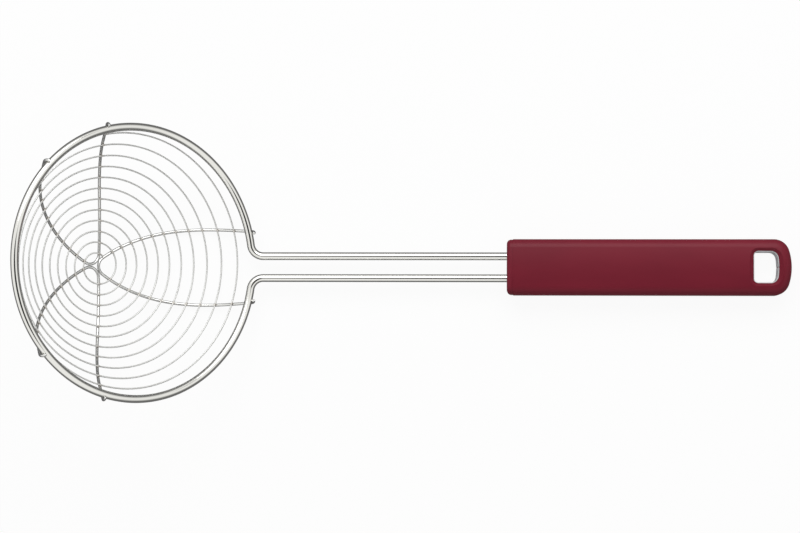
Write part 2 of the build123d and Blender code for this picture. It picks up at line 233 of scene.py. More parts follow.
class Value:
    """A node's output. A sum of such outputs and plain numbers adds its Math nodes."""

    def __init__(self, recipe, socket):
        self.recipe = recipe
        self.socket = socket

    def maths(self, operation, *parts):
        sockets = dict(enumerate(parts))
        return self.recipe.node("ShaderNodeMath", {"operation": operation}, sockets)

    def __add__(self, other):
        return self.maths("ADD", self, other)

    def __radd__(self, other):
        return self.maths("ADD", other, self)

    def __sub__(self, other):
        return self.maths("SUBTRACT", self, other)

    def __rsub__(self, other):
        return self.maths("SUBTRACT", other, self)

    def __mul__(self, other):
        return self.maths("MULTIPLY", self, other)

    def __rmul__(self, other):
        return self.maths("MULTIPLY", other, self)

    def __truediv__(self, other):
        return self.maths("DIVIDE", self, other)

    def __rtruediv__(self, other):
        return self.maths("DIVIDE", other, self)

    def smooth(self, low, high):
        """0 below low, 1 above high and a smooth rise between them; low may be the larger."""
        return self.recipe.node(
            "ShaderNodeMapRange",
            {"interpolation_type": "SMOOTHSTEP"},
            {"Value": self, "From Min": low, "From Max": high},
        )


class Recipe:
    """The node tree of one material or of the room."""

    def __init__(self, owner):
        owner.use_nodes = True
        self.tree = owner.node_tree
        self.tree.nodes.clear()

    def node(self, kind, settings=None, sockets=None, output=0):
        """Adds a node: its settings first, then the values or links of its sockets."""
        made = self.tree.nodes.new(kind)
        for name, setting in (settings or {}).items():
            setattr(made, name, setting)
        for name, value in (sockets or {}).items():
            if isinstance(value, Value):
                self.tree.links.new(value.socket, made.inputs[name])
            else:
                made.inputs[name].default_value = value
        return Value(self, made.outputs[output])

    def blend(self, factor, first, second):
        """A colour between two colours."""
        settings = {"data_type": "RGBA"}
        return self.node("ShaderNodeMix", settings, {0: factor, 6: first, 7: second}, 2)

    def noise(self, places, scale=1.0, stretch=(1, 1, 1), kind=PLAIN_NOISE):
        """Noise from 0 to 1, over places that are stretched first."""
        spread = self.node("ShaderNodeMapping", None, {"Vector": places, "Scale": stretch})
        sockets = {"Vector": spread, "Scale": scale, "Detail": kind[0], "Roughness": kind[1]}
        return self.node("ShaderNodeTexNoise", None, sockets)

    def bump(self, height, depth):
        """Normals of a surface raised by height times depth."""
        return self.node("ShaderNodeBump", None, {"Height": height, "Distance": depth, "Strength": 1.0})

    def finish(self, shader, kind="ShaderNodeOutputMaterial"):
        """Wires the shader to the tree's output."""
        output = self.tree.nodes.new(kind)
        self.tree.links.new(shader.socket, output.inputs["Surface"])


def opaque(rgb, level=1.0):
    """A colour of three numbers as the four that a socket takes."""
    return (rgb[0] * level, rgb[1] * level, rgb[2] * level, 1.0)


def new_material(name):
    """An empty material and its recipe."""
    material = bpy.data.materials.new(name)
    return material, Recipe(material)


# Shapes worked out with numpy


def unit(vectors):
    """Each vector divided by its own length."""
    return vectors / np.linalg.norm(vectors, axis=-1, keepdims=True)


def lengths_along(places):
    """How far along the run each place lies: the sum of the steps before it."""
    steps = np.linalg.norm(np.diff(places, axis=0), axis=1)
    return np.concatenate([[0.0], np.cumsum(steps)])


def joined(*runs):
    """Runs of places joined end to end; each run starts where the one before it ends."""
    return np.concatenate([runs[0]] + [run[1:] for run in runs[1:]])


def straight(start, end, steps):
    """Places from start to end: start + t (end - start)."""
    return start + np.linspace(0, 1, steps + 1)[:, None] * (end - start)


def arc(start, way, end, steps):
    """The circular arc that leaves start along way and ends at end.

    Half its turn is the angle between way and the chord, its radius is the chord over twice that
    angle's sine, and a place is start + radius (sin b way + (1 - cos b) side) for b up to the turn.
    """
    chord = end - start
    run = chord @ way
    side = chord - run * way
    turn = 2 * math.atan2(np.linalg.norm(side), run)
    radius = np.linalg.norm(chord) / (2 * math.sin(turn / 2))
    b = np.linspace(0, turn, steps + 1)[:, None]
    return start + radius * (np.sin(b) * way + (1 - np.cos(b)) * unit(side))


def two_arcs(start, start_way, end, end_way, steps):
    """Two arcs that meet half way between the ends of two equal straight runs from start and end.

    The runs are so long that the gap between their ends is two runs. Then each arc touches both of
    its lines at the same distance from where they cross.
    """
    chord = end - start
    along = (start_way + end_way) @ chord
    spread = 2 * (1 - start_way @ end_way) * (chord @ chord)
    run = chord @ chord / (along + math.sqrt(along * along + spread))
    leaving = start + start_way * run
    arriving = end - end_way * run
    joint = (leaving + arriving) / 2
    return joined(arc(start, start_way, joint, steps), arc(joint, unit(arriving - leaving), end, steps))


class Bowl:
    """The surface that the rib wires' middle lines lie on, and its place in the skimmer.

    Seen in section it is a floor arc, a tighter wall arc and a straight wall. The wall arc's radius
    is the one that lets the lowest turn of the spiral touch the floor while the straight wall
    touches the circle that each hook follows round the ring's wire.
    """

    def __init__(self, scene):
        heavy, rib, spiral = scene.skimmer_frame, scene.skimmer_ribs, scene.skimmer_spiral
        low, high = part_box("rim_frame")
        tilt, steep, fa = heavy.ring_tilt, heavy.wall_angle, heavy.floor_angle
        reach = heavy.ring_radius * math.cos(tilt) + heavy.ring_wire / 2
        rise = heavy.ring_radius * math.sin(tilt) + heavy.ring_wire / 2
        self.middle = np.array([low.x + reach, 0, high.z - rise])
        self.axes = np.array(
            [[math.cos(tilt), 0, -math.sin(tilt)], [0, 1, 0], [math.sin(tilt), 0, math.cos(tilt)]]
        )
        leg_low, leg_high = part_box("leg_wire_left")
        self.leg_height = leg_low.z + heavy.ring_wire / 2
        self.leg_end = leg_high.x
        self.hook_radius = heavy.ring_wire / 2 + rib.hook_gap + rib.rib_wire / 2
        self.spiral_inside = rib.rib_wire / 2 + spiral.weld_gap + spiral.spiral_wire / 2

        floor_edge = heavy.floor_radius * math.sin(fa)
        steepness = math.cos(tilt) / math.cos(steep)
        hook_side = self.hook_radius + (heavy.ring_radius - floor_edge) * math.sin(steep)
        lift = self.middle[2] + self.spiral_inside - spiral.spiral_wire / 2 - floor_edge * math.sin(tilt)
        fall = steepness * (1 - math.cos(steep - fa)) - (1 - math.cos(tilt - fa))
        self.wall = (steepness * hook_side - lift) / fall
        self.floor = heavy.floor_radius
        self.floor_angle, self.wall_angle = fa, steep
        self.wall_out = (self.floor - self.wall) * math.sin(fa)
        wall_reach = self.wall - self.hook_radius - (heavy.ring_radius - self.wall_out) * math.sin(steep)
        self.wall_up = wall_reach / math.cos(steep)
        self.floor_up = self.wall_up + (self.floor - self.wall) * math.cos(fa)

    def places(self, x, y, inside):
        """Places on the surface and its inner normals, in the bowl's own frame.

        At a distance out from the axis the slope s is asin(out / floor) on the floor arc,
        asin((out - wall_out) / wall) on the wall arc and the wall's own beyond it. The height is
        the arc's middle less its radius times cos s, and the normal leans inwards by s.
        """
        out = np.hypot(x, y)
        floor, wall = self.floor - inside, self.wall - inside
        straight_out = self.wall_out + wall * math.sin(self.wall_angle)
        on_floor = out < floor * math.sin(self.floor_angle)
        floor_slope = np.arcsin(np.clip(out / floor, 0, 1))
        wall_slope = np.arcsin(np.clip((out - self.wall_out) / wall, 0, math.sin(self.wall_angle)))
        slope = np.where(on_floor, floor_slope, wall_slope)
        beyond = np.maximum(out - straight_out, 0) * math.tan(self.wall_angle)
        wall_height = self.wall_up - wall * np.cos(slope) + beyond
        height = np.where(on_floor, self.floor_up - floor * np.cos(slope), wall_height)
        lean = -np.sin(slope) / out
        return np.stack([x, y, height], 1), np.stack([lean * x, lean * y, np.cos(slope)], 1)

    def placed(self, places):
        """Places from the bowl's own frame in the skimmer's."""
        return self.middle + places @ self.axes

    def turned(self, ways):
        """Directions from the bowl's own frame in the skimmer's."""
        return ways @ self.axes


def wire(places, insides, radius, sides, cut_edge, swell=0.0):
    """A round wire along places, closed at both ends.

    A point is place + r (cos a inside + sin a across) for a from 0 to a full turn, where inside is
    made square to the wire's way and across is way x inside. r is radius + swell. At each end the
    edge is rounded: r = radius - cut (1 - sin b), and the place moves in by cut (1 - cos b).
    Returns the points, the quads, the triangles of the two end faces and each row's length along.
    """
    ways = unit(np.gradient(places, lengths_along(places), axis=0))
    b = np.linspace(0, math.pi / 2, EDGE_ROWS)
    inset = (cut_edge * (1 - np.cos(b)))[:, None]
    narrow = radius - cut_edge * (1 - np.sin(b))
    middle = radius + np.broadcast_to(swell, len(places))[1:-1]
    rows = np.concatenate([places[0] + inset * ways[0], places[1:-1], places[-1] - inset[::-1] * ways[-1]])
    reach = np.concatenate([narrow, middle, narrow[::-1]])
    last = len(places) - 1
    repeat = np.concatenate([np.zeros(len(b), int), np.arange(1, last), np.full(len(b), last)])
    ways, insides = ways[repeat], insides[repeat]
    insides = unit(insides - np.sum(insides * ways, axis=1, keepdims=True) * ways)
    across = np.cross(ways, insides)
    a = np.linspace(0, 2 * math.pi, sides, endpoint=False)
    spokes = np.cos(a)[None, :, None] * insides[:, None] + np.sin(a)[None, :, None] * across[:, None]
    points = rows[:, None] + reach[:, None, None] * spokes
    points = np.concatenate([points.reshape(-1, 3), rows[:1], rows[-1:]])

    start = np.arange(len(rows) - 1)[:, None] * sides
    here, there = start + np.arange(sides), start + (np.arange(sides) + 1) % sides
    quads = np.stack([here, there, there + sides, here + sides], 2).reshape(-1, 4)
    around = np.arange(sides)
    onward = (around + 1) % sides
    last = (len(rows) - 1) * sides
    first_pole = np.full(sides, len(rows) * sides)
    first_face = np.stack([first_pole, onward, around], 1)
    last_face = np.stack([first_pole + 1, last + around, last + onward], 1)
    return points, quads, np.concatenate([first_face, last_face]), lengths_along(rows)


def wire_piece(name, nodes, shape, sides, material, marks=None):
    """Makes a wire's mesh and puts it in its solids' stead.

    Its map's u is the length along the wire, and its v the share of a full turn round it.
    """
    points, quads, ends, along = shape
    mesh = bpy.data.meshes.new(name)
    mesh.from_pydata(points.tolist(), [], quads.tolist() + ends.tolist())
    rows = len(along)
    smooth = np.zeros(len(quads) + len(ends), bool)
    smooth[: len(quads)] = True
    mesh.polygons.foreach_set("use_smooth", smooth)

    row, side = np.divmod(np.arange((rows - 1) * sides), sides)
    u = np.stack([along[row], along[row], along[row + 1], along[row + 1]], 1)
    v = np.stack([side, side + 1, side + 1, side], 1) / sides
    end_u = np.repeat([along[0], along[-1]], sides * 3)
    end_v = np.tile([0.5, 0.0, 1.0], 2 * sides)
    uv = np.stack([np.concatenate([u.ravel(), end_u]), np.concatenate([v.ravel(), end_v])], 1)
    layer = mesh.uv_layers.new(name="along_and_round")
    layer.data.foreach_set("uv", uv.astype(np.float32).ravel())
    if marks is not None:
        per_point = np.concatenate([np.repeat(marks, sides), marks[:1], marks[-1:]])
        weld = mesh.attributes.new("weld", "FLOAT", "POINT")
        weld.data.foreach_set("value", per_point.astype(np.float32))
    mesh.materials.append(material)
    mesh.update()

    piece = bpy.data.objects.new(name, mesh)
    bpy.context.scene.collection.objects.link(piece)
    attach(piece, BODY)
    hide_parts(*nodes)
    return piece


def end_rows(marks):
    """The marks along a wire, with its two end values repeated for the rows of the rounded ends."""
    first, last = np.repeat(marks[:1], EDGE_ROWS), np.repeat(marks[-1:], EDGE_ROWS)
    return np.concatenate([first, marks[1:-1], last])


# The runs of the wires


def frame_run(scene, bowl):
    """Middle line of the ring and legs, from one leg's end to the other's, and its inner side.

    The line of a leg and the tangent at the ring's end cross at a corner, which lies (ring sin half
    - leg y) / cos half before the ring's end. The neck is the arc that starts as far before the
    corner. The ring is ring (cos a, sin a) up to its far side, and the other half mirrors this one.
    """
    sizes = scene.skimmer_frame
    half, radius, leg_y = sizes.neck_half_angle, sizes.ring_radius, sizes.leg_spacing / 2
    corner = (radius * math.sin(half) - leg_y) / math.cos(half)
    ring_start = np.array([radius * math.cos(half), radius * math.sin(half), 0.0])
    ring_way = np.array([-math.sin(half), math.cos(half), 0.0])
    ring_place = bowl.placed(ring_start[None])[0]
    corner_x = (ring_place - bowl.turned(ring_way[None])[0] * corner)[0]
    leg_start = np.array([corner_x + corner, leg_y, bowl.leg_height])
    leg_far = np.array([bowl.leg_end, leg_y, bowl.leg_height])
    leg = straight(leg_far, leg_start, sizes.leg_steps)
    towards_ring = np.array([-1.0, 0.0, 0.0])
    neck = arc(leg_start, towards_ring, ring_place, sizes.neck_steps)
    a = np.linspace(half, math.pi, sizes.ring_steps // 2 + 1)
    half_ring = np.stack([radius * np.cos(a), radius * np.sin(a), 0 * a], 1)
    side = joined(leg, neck, bowl.placed(half_ring))
    places = joined(side, side[::-1] * MIRROR)
    rise = np.clip((np.arange(len(side)) - len(leg)) / len(neck), 0, 1)[:, None]
    inside = UP * (1 - rise) + bowl.turned(UP[None]) * rise
    return places, joined(inside, inside[::-1])


def hook_run(scene, bowl, start_around):
    """A hook's middle line, its inner side and the way in which it starts, in the bowl's frame.

    At an angle b round the ring's wire it is ring + hook radius cos b out from the axis and hook
    radius sin b up, and it has moved round the axis by hook radius (b - first b) tan lean / ring.
    """
    sizes, radius = scene.skimmer_ribs, scene.skimmer_frame.ring_radius
    b = np.linspace(bowl.wall_angle - math.pi / 2, sizes.hook_end, sizes.hook_steps + 1)
    around = start_around - bowl.hook_radius * (b - b[0]) * math.tan(sizes.hook_lean) / radius
    outward = np.stack([np.cos(around), np.sin(around), 0 * b], 1)
    spokes = outward * np.cos(b)[:, None] + UP * np.sin(b)[:, None]
    sideways = np.array([math.sin(start_around), -math.cos(start_around), 0.0])
    rise = UP * math.cos(b[0]) - outward[0] * math.sin(b[0])
    way = rise * math.cos(sizes.hook_lean) + sideways * math.sin(sizes.hook_lean)
    return radius * outward + bowl.hook_radius * spokes, -spokes, way


def arm_run(scene, bowl, bend_centre, spread, margin):
    """Half a rib wire: from the point of its V along an arm and round the ring, in the bowl's frame.

    In plan the bend is an arc of the bend radius round bend_centre. The arm is the one arc that
    touches it and lies along X where it is widest, and it closes in a little beyond. On the
    surface each gets the bowl's height, and two arcs lead from the arm into its hook.
    """
    sizes, radius = scene.skimmer_ribs, scene.skimmer_frame.ring_radius
    widest_out = radius - margin
    reach = widest_out - bend_centre
    arm_radius = (reach**2 + spread**2 - sizes.bend_radius**2) / (2 * (spread - sizes.bend_radius))
    first_lean = math.atan2(reach, arm_radius - spread)
    last_lean = -math.asin((margin - sizes.hook_run) / arm_radius)
    b = np.linspace(math.pi / 2, first_lean, sizes.bend_steps + 1)
    x = bend_centre - sizes.bend_radius * np.sin(b)
    y = sizes.bend_radius * np.cos(b)
    bend, bend_inside = bowl.places(x, y, 0)
    b = np.linspace(first_lean, last_lean, sizes.arm_steps + 1)
    x = widest_out - arm_radius * np.sin(b)
    y = spread - arm_radius * (1 - np.cos(b))
    arm, arm_inside = bowl.places(x, y, 0)

    hook_out = radius + bowl.hook_radius * math.sin(bowl.wall_angle)
    beside = y[-1] * math.cos(last_lean) - x[-1] * math.sin(last_lean)
    hook, hook_inside, hook_way = hook_run(scene, bowl, last_lean + math.asin(beside / hook_out))
    arm_way = unit(arm[-1] - arm[-2])
    link = two_arcs(arm[-1], arm_way, hook[0], hook_way, sizes.hook_steps // 2)
    t = np.linspace(0, 1, len(link))[:, None]
    link_inside = arm_inside[-1] * (1 - t) + hook_inside[0] * t
    places = joined(bend, arm, link, hook)
    return places, joined(bend_inside, arm_inside, link_inside, hook_inside)


def rib_runs(scene, bowl):
    """Middle line and inner side of each rib wire, by the name of its solid.

    The middles of the three bends lie a pitch apart: two bend radii, a wire and the weld gap. So
    the side ones are pitch / (2 sin side turn) out from the axis, and the one by the handle is on X
    at a pitch from the left one. A wire is half a wire and its mirror image, turned round the axis.
    """
    sizes, gap = scene.skimmer_ribs, scene.skimmer_spiral.weld_gap
    pitch = 2 * sizes.bend_radius + sizes.rib_wire + gap
    side_centre = pitch / (2 * math.sin(math.pi - sizes.side_turn))
    left, right = sizes.side_turn - sizes.side_skew, sizes.side_turn + sizes.side_skew
    drop, out = side_centre * math.cos(left), side_centre * math.sin(left)
    front_centre = drop + math.sqrt(pitch**2 - out**2)
    turns = {
        "rib_wire_handle_side": (0.0, front_centre, sizes.handle_spread, sizes.handle_margin),
        "rib_wire_left": (left, side_centre, sizes.left_spread, sizes.side_margin),
        "rib_wire_right": (-right, side_centre, sizes.right_spread, sizes.side_margin),
    }
    runs = {}
    for name, (turn, centre, spread, margin) in turns.items():
        half, half_inside = arm_run(scene, bowl, centre, spread, margin)
        places = joined(half[::-1] * MIRROR, half)
        inside = joined(half_inside[::-1] * MIRROR, half_inside)
        c, s = math.cos(turn), math.sin(turn)
        spin = np.array([[c, s, 0], [-s, c, 0], [0, 0, 1]])
        runs[name] = bowl.placed(places @ spin), bowl.turned(inside @ spin)
    return runs


def spiral_run(scene, bowl):
    """Middle line of the winding and its inner side.

    After k turns it is start + pitch k - tightening k k out from the axis, at the start angle plus
    k full turns, and on the surface that lies inside the ribs. k is spread so that the steps are
    equally long, with a short straight run at each end.
    """
    sizes = scene.skimmer_spiral
    reach = scene.skimmer_frame.ring_radius - sizes.ring_gap - sizes.start_radius
    pitch = reach / sizes.turns + sizes.tightening * sizes.turns
    k = np.linspace(0, sizes.turns, WINDING_SAMPLES)
    run = 2 * math.pi * (sizes.start_radius * k + pitch * k**2 / 2 - sizes.tightening * k**3 / 3)
    k = np.interp(np.linspace(0, run[-1], int(run[-1] / sizes.step)), run, k)
    out = sizes.start_radius + pitch * k - sizes.tightening * k**2
    a = sizes.start_angle + 2 * math.pi * k
    places, inside = bowl.places(out * np.cos(a), out * np.sin(a), bowl.spiral_inside)
    first = places[0] - unit(places[1] - places[0]) * sizes.spiral_wire
    last = places[-1] + unit(places[-1] - places[-2]) * sizes.spiral_wire
    places = np.concatenate([first[None], places, last[None]])
    inside = np.concatenate([inside[:1], inside, inside[-1:]])
    return bowl.placed(places), bowl.turned(inside)


def weld_marks(places, others, apart, spread):
    """How near each place is to a weld: exp(-(d / spread) squared).

    d is the distance to the nearest of the other wires' places, less the part of it that is due to
    how far apart the two middle lines lie where they cross.
    """
    nearest = np.full(len(places), np.inf)
    for other in others:
        steps = places[:, None] - other[None, :]
        nearest = np.minimum(nearest, np.einsum("ijk,ijk->ij", steps, steps).min(axis=1))
    return np.exp(-np.maximum(nearest - apart**2, 0) / spread**2)


# Materials

# Drawn wire: cells of noise on a metre of it and on a turn round it, for its streaks, its finer
# streaks and its faint bands
STREAK_CELLS = (60, 26, 1)
FINE_CELLS = (420, 64, 1)
BAND_CELLS = (95, 3, 1)
# Its darkest tint as a share of the full one, and the shade between them: a plain part, what the
# streaks add and what the bands add
STREAK_DARK = 0.8
SHADE_PLAIN, SHADE_STREAKS, SHADE_BANDS = 0.86, 0.16, 0.08
# Its roughness, as a share of the one asked for, with what the streaks add to that share, and what
# the bands add to the roughness itself
ROUGH_PLAIN, ROUGH_STREAKS, ROUGH_BANDS = 0.75, 0.5, 0.05
# How much of its relief is streaks, and how much is finer streaks
RELIEF_STREAKS, RELIEF_FINE = 0.6, 0.4
# How much of the weld's tint shows at its middle, and how much rougher it is there
WELD_SHOWS, WELD_ROUGHER = 0.45, 0.1


def drawn_steel(name, tint, roughness, streak, weld_tint=None):
    """Drawn and polished wire: long streaks along it, faint bands, and marks where it is welded.

    The streaks are noise on the wire's own map, far finer round it than along it.
    """
    material, recipe = new_material(name)
    places = recipe.node("ShaderNodeUVMap", {"uv_map": "along_and_round"})
    streaks = recipe.noise(places, stretch=STREAK_CELLS, kind=RICH_NOISE)
    fine = recipe.noise(places, stretch=FINE_CELLS)
    bands = recipe.noise(places, stretch=BAND_CELLS)
    rough = roughness * (ROUGH_PLAIN + ROUGH_STREAKS * streaks) + ROUGH_BANDS * bands
    shade = SHADE_PLAIN + SHADE_STREAKS * streaks + SHADE_BANDS * bands
    base = recipe.blend(shade, opaque(tint, STREAK_DARK), opaque(tint))
    height = RELIEF_STREAKS * streaks + RELIEF_FINE * fine
    if weld_tint is not None:
        mark = recipe.node("ShaderNodeAttribute", {"attribute_name": "weld"}, None, "Fac")
        base = recipe.blend(mark * WELD_SHOWS, base, opaque(weld_tint))
        rough = rough + WELD_ROUGHER * mark
    shader = recipe.node(
        "ShaderNodeBsdfPrincipled",
        None,
        {
            "Base Color": base,
            "Metallic": 1.0,
            "Roughness": rough,
            "Normal": recipe.bump(height, streak),
        },
    )
    recipe.finish(shader)
    return material


# Moulded plastic: cells of noise on a metre, of its grain and of its slow flow, which is drawn
# out along the handle
GRAIN_CELLS = 5200.0
FLOW_CELLS = 60.0
FLOW_STRETCH = (0.35, 1, 1)
# Between which values of the flow its shade changes, and from and to which shares of the tint
FLOW_EDGE = (0.3, 0.7)
FLOW_DARK, FLOW_LIGHT = 0.95, 1.05
# What comes off its roughness, and what the grain and the flow add to it
ROUGH_LESS, ROUGH_GRAIN, ROUGH_FLOW = 0.04, 0.06, 0.04
# How strongly it bends light, and how strong its reflections are
PLASTIC_BEND = 1.48
PLASTIC_SHINE = 0.21


def moulded(name, tint, roughness, grain):
    """Moulded plastic: a fine even grain, and slow changes of shade and gloss."""
    material, recipe = new_material(name)
    places = recipe.node("ShaderNodeTexCoord", None, None, "Object")
    spark = recipe.noise(places, GRAIN_CELLS, kind=RICH_NOISE)
    flow = recipe.noise(places, FLOW_CELLS, FLOW_STRETCH)
    base = recipe.blend(flow.smooth(*FLOW_EDGE), opaque(tint, FLOW_DARK), opaque(tint, FLOW_LIGHT))
    shader = recipe.node(
        "ShaderNodeBsdfPrincipled",
        None,
        {
            "Base Color": base,
            "Roughness": roughness - ROUGH_LESS + ROUGH_GRAIN * spark + ROUGH_FLOW * flow,
            "IOR": PLASTIC_BEND,
            "Specular IOR Level": PLASTIC_SHINE,
            "Normal": recipe.bump(spark, grain),
        },
    )
    recipe.finish(shader)
    return material


# Lines a metre along X, Y and Z in the rolled steel of the anchor plate and of the liner
PLATE_LINES = (900, 60, 3000)
LINER_LINES = (120, 120, 3800)
# Its darkest tint as a share of the full one, and its roughness as a share of the one asked for: a
# plain part and what the lines add
LINE_DARK = 0.85
STRIP_ROUGH_PLAIN, STRIP_ROUGH_LINES = 0.7, 0.6


def strip_steel(name, tint, roughness, stretch, depth, metal=1.0):
    """Rolled strip: fine lines along the way it was rolled."""
    material, recipe = new_material(name)
    places = recipe.node("ShaderNodeTexCoord", None, None, "Object")
    lines = recipe.noise(places, stretch=stretch, kind=RICH_NOISE)
    shader = recipe.node(
        "ShaderNodeBsdfPrincipled",
        None,
        {
            "Base Color": recipe.blend(lines, opaque(tint, LINE_DARK), opaque(tint)),
            "Metallic": metal,
            "Roughness": roughness * (STRIP_ROUGH_PLAIN + STRIP_ROUGH_LINES * lines),
            "Normal": recipe.bump(lines, depth),
        },
    )
    recipe.finish(shader)
    return material


def dress(node, material):
    """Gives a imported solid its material."""
    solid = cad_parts[node]
    if not solid.material_slots:
        solid.data.materials.append(material)
    for slot in solid.material_slots:
        slot.material = material


# Stage


def pale_floor(sizes):
    """The floor's material: pale and plain, with the white of the background in what is seen of it."""
    material, recipe = new_material("pale_floor")
    camera = recipe.node("ShaderNodeLightPath", None, None, "Is Camera Ray")
    glossy = recipe.node("ShaderNodeLightPath", None, None, "Is Glossy Ray")
    clear = recipe.node("ShaderNodeLightPath", None, None, "Is Transmission Ray")
    plain = recipe.node("ShaderNodeBsdfDiffuse", None, {"Color": opaque(sizes.floor_colour)})
    white = recipe.node("ShaderNodeEmission", None, {"Color": WHITE, "Strength": 1.0})
    grey = recipe.node("ShaderNodeEmission", None, {"Color": WHITE, "Strength": sizes.floor_gloss})
    share_seen = (camera + clear) * sizes.floor_white
    seen = recipe.node("ShaderNodeMixShader", None, {0: share_seen, 1: plain, 2: white})
    recipe.finish(recipe.node("ShaderNodeMixShader", None, {0: glossy, 1: seen, 2: grey}))
    return material


# How bright the room is in gloss below the horizon, how much brighter the sky is, and between
# which heights that rise lies, as shares of straight up
LOW_LEVEL = 0.25
SKY_RISE = 0.95
SKY_EDGE = (-0.05, 0.4)
# The faint warmth of the room in gloss
GLOSS_TINT = (1, 1, 0.985, 1)

# Each dark card of the room: its turn from +X, its tip from straight up, its half width and half
# height as seen from the skimmer, how dark it is, and how soft its edge
DARK_CARDS = (
    (-36, 18, 0.4, 0.4, 0.95, 0.35),
    (60, 62, 0.5, 0.08, 0.4, 0.35),
)
# Keeps a card to its own side of the room, where it fades in between these cosines of the angle
# from its middle
CARD_HALF = (0.0, 0.2)


def room_light(world, sizes):
    """A plain room: white where it is seen, even for matt surfaces, and with darker cards for gloss."""
    recipe = Recipe(world)
    camera = recipe.node("ShaderNodeLightPath", None, None, "Is Camera Ray")
    glossy = recipe.node("ShaderNodeLightPath", None, None, "Is Glossy Ray")
    way = recipe.node("ShaderNodeTexCoord", None, None, "Generated")

    def along(x, y, z):
        settings = {"operation": "DOT_PRODUCT"}
        return recipe.node("ShaderNodeVectorMath", settings, {0: way, 1: (x, y, z)}, "Value")

    def card(turn, tip, width, height, edge):
        """A soft-edged oval seen this far from straight up, turned round Z from +X.

        It is 1 where (sideways / width) squared + (lengthways / height) squared is under 1 - edge,
        and 0 where that is over 1 + edge.
        """
        c, s = math.cos(math.radians(turn)), math.sin(math.radians(turn))
        ct, st = math.cos(math.radians(tip)), math.sin(math.radians(tip))
        facing = along(c * st, s * st, ct)
        sideways = along(-s, c, 0) / width
        lengthways = along(c * ct, s * ct, -st) / height
        far = sideways * sideways + lengthways * lengthways
        return far.smooth(1 + edge, 1 - edge) * facing.smooth(*CARD_HALF)

    up = along(0, 0, 1)
    level = LOW_LEVEL + SKY_RISE * up.smooth(*SKY_EDGE)
    for turn, tip, width, height, depth, edge in DARK_CARDS:
        level = level * (1 - depth * card(turn, tip, width, height, edge))
    plain = recipe.node("ShaderNodeBackground", None, {"Color": WHITE, "Strength": sizes.room_level})
    white = recipe.node("ShaderNodeBackground", None, {"Color": WHITE, "Strength": 1.0})
    cards = recipe.node("ShaderNodeBackground", None, {"Color": GLOSS_TINT, "Strength": level})
    shine = recipe.node("ShaderNodeMixShader", None, {0: glossy, 1: plain, 2: cards})
    room = recipe.node("ShaderNodeMixShader", None, {0: camera, 1: shine, 2: white})
    recipe.finish(room, "ShaderNodeOutputWorld")


# Operators


class SKIMMER_OT_ring_and_legs(bpy.types.Operator):
    """Draw the heavy wire: the ring, the neck's two bends and the two legs"""

    bl_idname = "skimmer.ring_and_legs"
    bl_label = "Ring and Legs"
    bl_options = {"REGISTER", "UNDO"}

    def execute(self, context):
        scene = context.scene
        sizes, looks = scene.skimmer_frame, scene.skimmer_finishes
        places, inside = frame_run(scene, Bowl(scene))
        shape = wire(places, inside, sizes.ring_wire / 2, sizes.wire_sides, scene.skimmer_ribs.cut_edge)
        steel = drawn_steel("heavy_wire", looks.heavy_steel, looks.heavy_roughness, looks.heavy_streak)
        nodes = ("rim_frame", "leg_wire_left", "leg_wire_right")
        wire_piece("ring_and_legs", nodes, shape, sizes.wire_sides, steel)
        return {"FINISHED"}


class SKIMMER_OT_rib_wires(bpy.types.Operator):
    """Draw the three bent rib wires with their hooks"""

    bl_idname = "skimmer.rib_wires"
    bl_label = "Rib Wires"
    bl_options = {"REGISTER", "UNDO"}

    def execute(self, context):
        scene = context.scene
        sizes, looks = scene.skimmer_ribs, scene.skimmer_finishes
        bowl = Bowl(scene)
        turns, _ = spiral_run(scene, bowl)
        steel = drawn_steel(
            "rib_wire", looks.rib_steel, looks.rib_roughness, looks.thin_streak, looks.weld_tint
        )
        for node, (places, inside) in rib_runs(scene, bowl).items():
            marks = weld_marks(places, [turns], bowl.spiral_inside, scene.skimmer_spiral.weld_length)
            shape = wire(places, inside, sizes.rib_wire / 2, sizes.wire_sides, sizes.cut_edge)
            name = node.replace("rib_wire", "bent_rib")
            wire_piece(name, [node], shape, sizes.wire_sides, steel, end_rows(marks))
        return {"FINISHED"}


class SKIMMER_OT_spiral_wire(bpy.types.Operator):
    """Draw the fine wire wound on the ribs, spread a little at each weld"""

    bl_idname = "skimmer.spiral_wire"
    bl_label = "Spiral Wire"
    bl_options = {"REGISTER", "UNDO"}

    def execute(self, context):
        scene = context.scene
        sizes, looks = scene.skimmer_spiral, scene.skimmer_finishes
        bowl = Bowl(scene)
        places, inside = spiral_run(scene, bowl)
        ribs = [run for run, _ in rib_runs(scene, bowl).values()]
        marks = weld_marks(places, ribs, bowl.spiral_inside, sizes.weld_length)
        swell = sizes.weld_swell * marks
        shape = wire(places, inside, sizes.spiral_wire / 2, sizes.wire_sides, sizes.cut_edge, swell)
        steel = drawn_steel(
            "fine_wire", looks.fine_steel, looks.fine_roughness, looks.thin_streak, looks.weld_tint
        )
        wire_piece("winding", ["spiral_wire"], shape, sizes.wire_sides, steel, end_rows(marks))
        return {"FINISHED"}


class SKIMMER_OT_handle(bpy.types.Operator):
    """Give the moulded shell and the front cap their satin burgundy"""

    bl_idname = "skimmer.handle"
    bl_label = "Handle Shell and Front Cap"
    bl_options = {"REGISTER", "UNDO"}

    def execute(self, context):
        looks = context.scene.skimmer_finishes
        plastic = moulded("handle_plastic", looks.burgundy, looks.handle_roughness, looks.handle_grain)
        for node in ("handle_shell", "front_cap"):
            dress(node, plastic)
        return {"FINISHED"}


